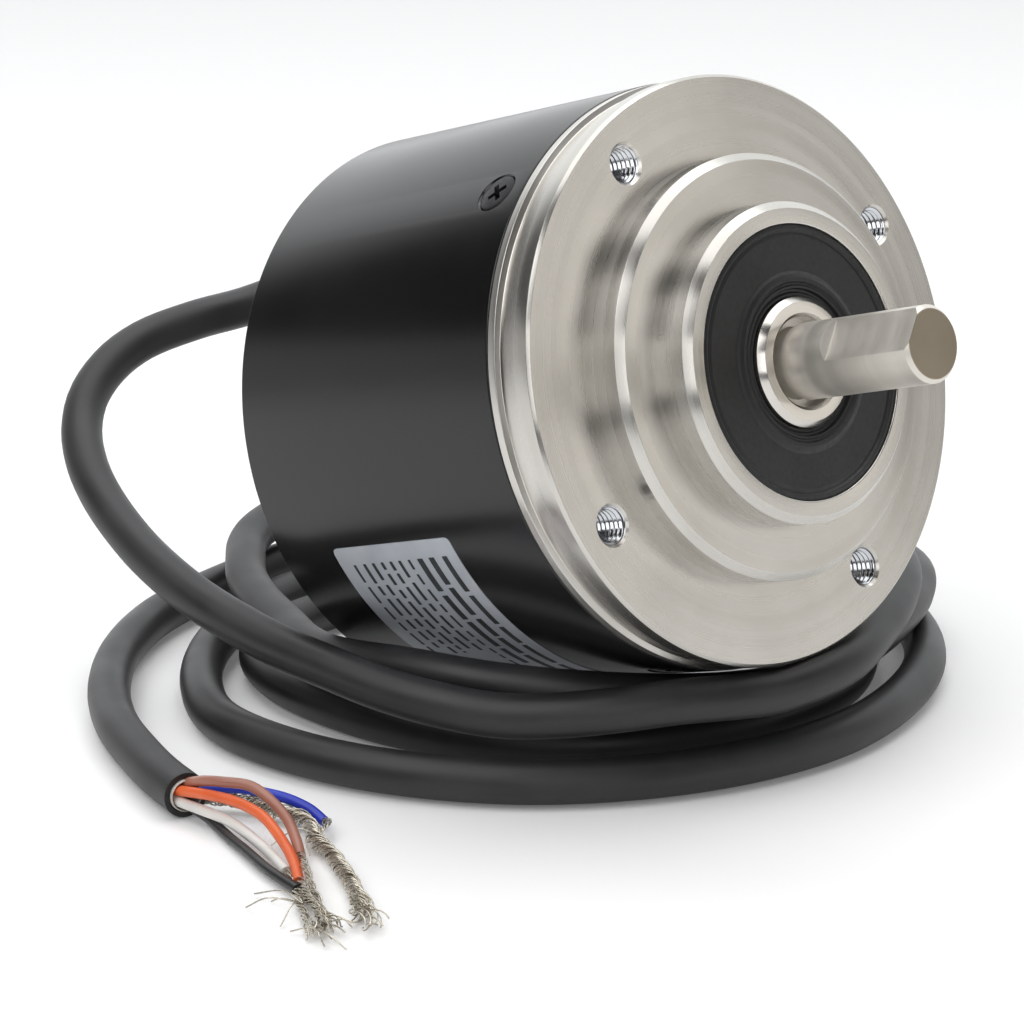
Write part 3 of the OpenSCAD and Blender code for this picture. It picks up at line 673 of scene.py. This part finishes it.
def tapped_thread(k):
    """The cut thread inside one mounting hole, as a helical skin that meets the wall of the hole."""
    pitch, depth, crest, root, around = 0.8, 7.9, 2.1, 2.49, 60
    rows = int(depth / pitch * 12)
    verts, faces = [], []
    for i in range(rows + 1):
        x = -depth + (depth - 0.3) * i / rows
        for j in range(around):
            turn = j / around
            wave = abs(((x / pitch - turn) % 1) * 2 - 1)
            wave = min(1, max(0, (wave - 0.1) / 0.8))
            r = root - (root - crest) * wave
            if i > rows - 8:
                r += (root + 0.05 - r) * ((i - rows + 8) / 8)
            verts.append((x, r * math.sin(2 * math.pi * turn), r * math.cos(2 * math.pi * turn)))
    for i in range(rows):
        for j in range(around):
            a, b = i * around + j, i * around + (j + 1) % around
            faces.append((a, b, b + around, a + around))
    faces.append(tuple(range(around)))
    return new_object("thread", verts, faces, hole_place(k), sharp=50)


threads = join("tapped_threads", [tapped_thread(k) for k in range(4)], sharp=50)
for face in threads.data.polygons:
    face.flip()
is_part(threads, "housing", "anodised_aluminium", BEARING_STEEL)

# ------------------------------------------------------------------ cover, screws, label
cover = lathe("cover", [
    (0, -57.8), (38.7, -57.8, 0.1), (COVER_R, -57.4, 0.1), (COVER_R, -7.55, 0.25), (COVER_INNER_R, -7.55),
    (COVER_INNER_R, -55.8, 0.8), (0, -55.8)], 256)
cutters = [lathe("exit_cutter", [(0, 30), (5.4, 30), (5.4, 42), (0, 42)], 48,
                 EXIT_PLACE, axis="Z")]
for k in range(3):
    cutters.append(lathe("sink_cutter", [(0, 36), (1.6, 36), (1.6, 37.45), (3.1, 39.0), (3.1, 41),
                                         (0, 41)], 48,
                         screw_place(k), axis="Z"))
cut(cover, cutters)
is_part(cover, "housing", "black_paint", PAINT, "rear_cover")


def cover_screw(k):
    place = screw_place(k) @ Matrix.Rotation(0.6, 4, "Z")
    screw = lathe("cover_screw", [(0, 29), (1.4, 29, 0.3), (1.5, 37.4), (2.8, 38.75, 0.05),
                                  (2.8, 38.9, 0.08), (2.4, 38.98), (0, 39.02)],
                  48, place, axis="Z")
    slots = []
    for quarter in (0, 1):
        corners = []
        for top in (0, 1):
            z, long, wide = ((37.5, 0.55, 0.2), (39.3, 1.75, 0.42))[top]
            for sx in (-1, 1):
                for sy in (-1, 1):
                    corners.append((sx * (wide if quarter else long), sy * (long if quarter else wide), z))
        slots.append(convex("slot", corners, place))
    return cut(screw, slots)


screws = join("countersunk_screws", [cover_screw(k) for k in range(3)])
is_part(screws, "housing", "black_screw", SCREW_BLACK, "cover_screws")


def wrapped_patch(name, x0, x1, a0, a1, radius, thick, corner=0.0, pieces=40):
    """A thin rounded rectangle bent round the cover: x along the shaft, a the roll in degrees."""
    arc = math.radians(1) * radius
    u0, u1 = a0 * arc, a1 * arc
    outline = [(u0, x0, corner), (u1, x0, corner), (u1, x1, corner), (u0, x1, corner)]
    work = bmesh.new()
    loop = [work.verts.new((p[0], p[1], 0)) for p in rounded(outline, 8)]
    work.faces.new(loop)
    for k in range(1, pieces):
        u = u0 + (u1 - u0) * k / pieces
        everything = work.verts[:] + work.edges[:] + work.faces[:]
        bmesh.ops.bisect_plane(work, geom=everything, plane_co=(u, 0, 0), plane_no=(1, 0, 0))
    made = bmesh.ops.extrude_face_region(work, geom=work.faces[:])
    for v in made["geom"]:
        if isinstance(v, bmesh.types.BMVert):
            v.co.z = thick
    for v in work.verts:
        angle = v.co.x / radius
        r = radius + v.co.z
        v.co = Vector((v.co.y, r * math.sin(angle), r * math.cos(angle))) * MM
    mesh = bpy.data.meshes.new(name)
    work.to_mesh(mesh)
    work.free()
    finish_mesh(mesh)
    return add_object(name, mesh, REST)


label = wrapped_patch("rating_label", -46.6, -23.1, -172, -110, COVER_R, 0.1, 1.0)
is_part(label, "housing", "label_film", LABEL, "name_label")
# Plain bars stand for the label's print: no lettering
BAR_R = 39.19
bars = []
for row, (x, height, fill) in enumerate([
        (-25.6, 1.0, 0.85), (-28.2, 1.1, 0.7), (-30.5, 1.1, 0.62), (-32.7, 0.5, 0.7), (-34.6, 0.6, 0.5),
        (-36.4, 0.6, 0.5), (-38.2, 0.6, 0.5), (-40, 0.6, 0.5), (-41.8, 0.6, 0.45), (-43.8, 0.5, 0.6)]):
    a = -114.0
    end = a - 54 * fill
    while a > end:
        width = rng.uniform(1.6, 5.0) if row > 2 else rng.uniform(5, 9)
        width = min(width, a - end + 0.6)
        low, high = x - height / 2, x + height / 2
        bars.append(wrapped_patch("bar", low, high, a - width, a, BAR_R, 0.02, 0.15, pieces=4))
        a -= width + rng.uniform(0.7, 1.3)
print_bars = join("label_print", bars)
is_part(print_bars, "housing", "label_film", INK)

# ------------------------------------------------------------------ seal
seal = lathe("shaft_seal", [
    (18, 2.85), (18, 9.7, 0.35), (17.3, 9.85, 0.2), (16.95, 9.45, 0.15), (16.4, 9.62, 0.2),
    (11.9, 9.62, 0.2), (11.5, 9.9, 0.15), (11.0, 10.1, 0.15), (10.55, 10.1, 0.12), (10.3, 9.7, 0.08),
    (10.05, 9.7, 0.06), (9.9, 9.9, 0.06), (9.65, 9.85, 0.06), (9.5, 9.35, 0.06), (9.2, 9.3, 0.05),
    (8.95, 9.6, 0.06), (8.6, 9.35, 0.04), (8.56, 9.2, 0.04), (9.0, 8.6, 0.1), (9.6, 8.1, 0.2),
    (9.3, 5.2, 0.2), (8.56, 4.6, 0.03), (9.6, 3.8, 0.1), (10.6, 3.8, 0.1), (10.6, 5.2, 0.1),
    (10.4, 6.8, 0.2), (11.2, 7.9), (11.2, 8.6), (17.2, 8.6), (17.2, 2.85)], 256)
is_part(seal, "housing", "black_rubber", RUBBER, "oil_seal")

# ------------------------------------------------------------------ shaft
shaft = lathe("drive_shaft", [
    (0, -45), (6, -45, 0.5), (6, -31.2), (7.5, -31.2, 0.1), (7.5, -30.2), (7, -30.2), (7, -29),
    (7.5, -29), (7.5, 2.2), (5.9, 2.2), (5.9, 8.4), (4.7, 8.4, 0.1), (4.7, 10.8, 0.05), (5, 10.8, 0.05),
    (5, 31.8, 0.05), (4.4, 32.4, 0.05), (0, 32.4)], 192)
flat_cutter = convex("flat_cutter", [
    (x, y, z) for y in (-6, 6) for x, z in ((18.3, 4.0), (17.2, 5.4), (17.2, 9), (34, 4.0), (34, 9))],
    rolled(FLAT_ROLL))
cut(shaft, [flat_cutter])
is_part(shaft, "rotor", "stainless_shaft", SHAFT_STEEL, "shaft")
sleeve = lathe("seal_sleeve", [
    (5.9, 2.2), (8.5, 2.2, 0.1), (8.5, 9.9, 0.06), (7.75, 10.7, 0.06), (6.35, 10.7, 0.05),
    (5.9, 10.25, 0.05)], 192)
is_part(sleeve, "rotor", "stainless_shaft", SLEEVE_STEEL, "shaft_sleeve")

# ------------------------------------------------------------------ cable exit
ribs = []
for k in range(5):
    s = 43.2 + 2.0 * k
    r = 5.5 - 0.33 * k
    ribs += [(r, s, 0.15), (r - 0.55, s + 0.35, 0.1), (r - 0.6, s + 1.0, 0.1), (r - 0.1, s + 1.4, 0.15)]
grommet = lathe("strain_relief", [
    (3.05, 34.8), (6.6, 34.8, 0.2), (6.6, 35.9, 0.2), (5.4, 36.2), (5.4, 38), (7.5, 38.0, 0.1),
    (7.5, 40.4, 0.6), (6.2, 41.4, 0.4), (5.6, 42.0, 0.3)] + ribs + [(3.9, 53.4, 0.2), (3.6, 54, 0.2),
    (3.05, 54, 0.1)], 96,
    EXIT_PLACE, axis="Z")
shell = lathe("shell_cutter", [
    (COVER_INNER_R, -57.5), (COVER_R, -57.5), (COVER_R, -8), (COVER_INNER_R, -8)], 256)
plug = lathe("plug_cutter", [(0, 30), (5.4, 30), (5.4, 42), (0, 42)], 96,
             EXIT_PLACE, axis="Z")
cut(shell, [plug])
cut(grommet, [shell])
is_part(grommet, "housing", "black_rubber", RUBBER, "cable_grommet")

# ------------------------------------------------------------------ CAD nodes that stay
SLOT_LOOKS = {
    "anodised_aluminium": ALUMINIUM, "black_paint": PAINT, "black_screw": SCREW_BLACK, "black_rubber": RUBBER,
    "label_film": LABEL, "stainless_shaft": SHAFT_STEEL, "bearing_steel": BEARING_STEEL, "zinc_steel": ZINC,
    "cage_nylon": NYLON, "brass_turned": BRASS, "optical_glass": GLASS, "black_plastic": BLACK_PLASTIC,
    "clear_epoxy": EPOXY, "circuit_board": PCB, "cream_nylon": CREAM, "cable_jacket": CABLE,
    "orange_pvc": WIRES["orange"], "tinned_copper": TINNED}
slot_of = {part["node"]: part["material_slot"] for part in frame["record"]["subparts"]}
for node, obj in frame["nodes"].items():
    look = SLOT_LOOKS.get(slot_of.get(node))
    if node.endswith("_balls"):
        look = BALL_STEEL
    if look is None:
        continue
    if not obj.material_slots:
        obj.data.materials.append(look)
    for material_slot in obj.material_slots:
        material_slot.material = look

# ------------------------------------------------------------------ stage and light
floor_look = Look("floor", (0.9, 0.9, 0.9, 1), Roughness=0.7, Emission_Color=(1, 1, 1, 1),
                  Emission_Strength=0.1)
floor_look.bump(floor_look.noise(floor_look.place((40, 40, 40))), 0.00001)
floor_mesh = bpy.data.meshes.new("floor")
FLOOR_HALF, FLOOR_Z = 3, -0.0002
corners = [(x * FLOOR_HALF, y * FLOOR_HALF, FLOOR_Z) for x, y in ((-1, -1), (1, -1), (1, 1), (-1, 1))]
floor_mesh.from_pydata(corners, [], [(0, 1, 2, 3)])
floor = bpy.data.objects.new("floor", floor_mesh)
floor_mesh.materials.append(floor_look.material)
scene.collection.objects.link(floor)


def softbox(name, place, target, size, power, colour=(1, 1, 1)):
    light = bpy.data.lights.new(name, "AREA")
    light.shape = "RECTANGLE"
    light.size, light.size_y = size
    light.energy = power
    light.color = colour
    obj = bpy.data.objects.new(name, light)
    scene.collection.objects.link(obj)
    obj.location = place
    aim = Vector(target) - Vector(place)
    obj.rotation_euler = aim.to_track_quat("-Z", "Y").to_euler()
    return obj


softbox("top_box", (-0.1, 0.1, 1.15), (0, 0, 0.05), (1.3, 1.0), 8)
softbox("left_top_box", (-0.05, -0.75, 0.9), (0, 0, 0.05), (1.2, 0.7), 6.5)
softbox("face_box", (1.0, 0.75, 0.35), (0, 0, 0.05), (0.6, 0.6), 1.3, (1.0, 0.97, 0.92))
softbox("left_box", (-1.1, -0.75, 0.15), (0, 0, 0.05), (0.9, 0.3), 0.5)
softbox("front_box", (0.9, -0.75, 0.5), (0, 0, 0.05), (0.6, 0.6), 2.4)

world = bpy.data.worlds.new("studio")
world.use_nodes = True
scene.world = world
tree = world.node_tree
background = tree.nodes["Background"]
coords = tree.nodes.new("ShaderNodeTexCoord")
facing = tree.nodes.new("ShaderNodeVectorMath")
facing.operation = "DOT_PRODUCT"
facing.inputs[1].default_value = (-0.55, 0.8, 0.25)
ramp = tree.nodes.new("ShaderNodeValToRGB")
ramp.color_ramp.elements[0].position = 0.72
ramp.color_ramp.elements[0].color = (0.02, 0.02, 0.021, 1)
ramp.color_ramp.elements[1].position = 0.84
ramp.color_ramp.elements[1].color = (0.97, 0.99, 1, 1)
spread = tree.nodes.new("ShaderNodeMapRange")
spread.inputs[1].default_value = -1
spread.inputs[2].default_value = 1
tree.links.new(coords.outputs["Generated"], facing.inputs[0])
tree.links.new(facing.outputs["Value"], spread.inputs[0])
tree.links.new(spread.outputs[0], ramp.inputs[0])
tree.links.new(ramp.outputs[0], background.inputs[0])
background.inputs[1].default_value = 1.35
scene.view_settings.view_transform = "Standard"
